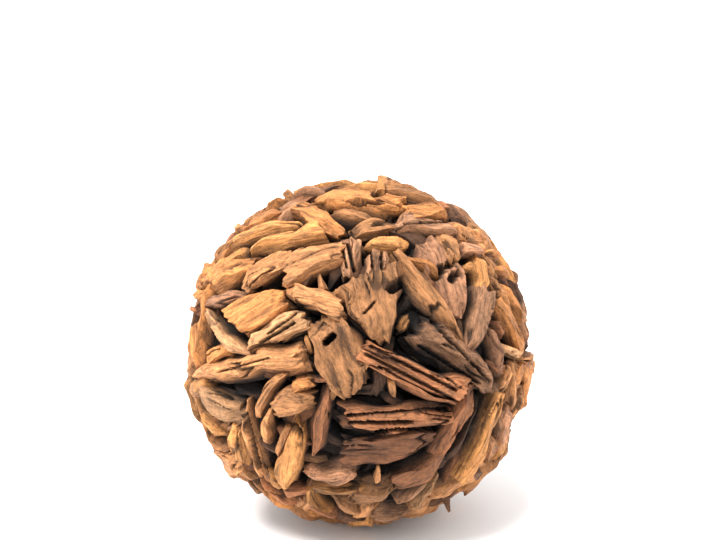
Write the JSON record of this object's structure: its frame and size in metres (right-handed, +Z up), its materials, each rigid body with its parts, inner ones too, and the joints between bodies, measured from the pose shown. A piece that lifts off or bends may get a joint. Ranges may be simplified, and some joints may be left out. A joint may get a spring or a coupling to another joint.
{
  "type": "decorative root-wood ball",
  "caption": "Decorative ball built of weathered, split root-wood chips glued all over at many angles, with dark gaps between them and a small flat spot to stand on.",
  "frame": {"origin": "centre of the flat spot under the ball, on the surface it stands on", "axes": "+Z up through the middle of the ball, the pictured front toward -Y, +X to the front viewer's right"},
  "size_m": [0.3889, 0.4006, 0.3964],
  "materials": {
    "dark_wood": "weathered, unfinished",
    "golden_wood": "weathered, unfinished",
    "grey_wood": "weathered, unfinished",
    "orange_wood": "weathered, unfinished",
    "pale_wood": "weathered, unfinished",
    "pink_wood": "weathered, unfinished",
    "red_wood": "weathered, unfinished",
    "tan_wood": "weathered, unfinished"
  },
  "bodies": {
    "root": {"star_wedge": "orange_wood", "split_root_upper": "golden_wood", "split_root_lower": "golden_wood", "orange_slat": "orange_wood", "tan_plank": "tan_wood", "saddle_block": "tan_wood", "orange_plank": "orange_wood", "eyed_root": "orange_wood", "crown_spur": "golden_wood", "under_plank": "tan_wood", "golden_nose": "golden_wood", "long_blade": "tan_wood", "cleft_root": "grey_wood", "grey_stump": "grey_wood", "heart_plate": "tan_wood", "tan_shingle": "tan_wood", "bread_block": "orange_wood", "pink_chip": "pink_wood", "branch_strip": "pale_wood", "left_stave": "orange_wood", "thumb_chip": "orange_wood", "split_blade": "pale_wood", "left_log": "tan_wood", "low_plate": "pale_wood", "oak_knob": "golden_wood", "hollow_blade": "tan_wood", "sickle": "tan_wood", "round_knob": "tan_wood", "small_nub": "orange_wood", "tongue": "golden_wood", "red_blade": "red_wood", "holed_plate": "tan_wood", "ribbed_plank": "red_wood", "ribbed_strand": "red_wood", "knotted_root": "grey_wood", "grey_stub": "grey_wood", "yellow_chip": "golden_wood", "pitted_plate": "pink_wood", "fan_chip": "tan_wood", "grey_plank": "grey_wood", "triangle_plate": "orange_wood", "rim_sliver": "tan_wood", "mauve_block": "pink_wood", "spur_chip": "orange_wood", "right_slat": "orange_wood", "mauve_strip": "pink_wood", "nail_plate": "tan_wood", "pale_plank": "golden_wood", "red_board": "red_wood", "light_block": "pink_wood", "shredded_board": "red_wood", "flat_board": "red_wood", "rust_plank": "red_wood", "spur_body": "dark_wood", "gnarled_knot": "tan_wood", "mouse_chip": "pink_wood", "curl": "golden_wood", "bottom_grey": "grey_wood", "foot_chip": "tan_wood", "packed_chips": "dark_wood"}
  },
  "joints": []
}
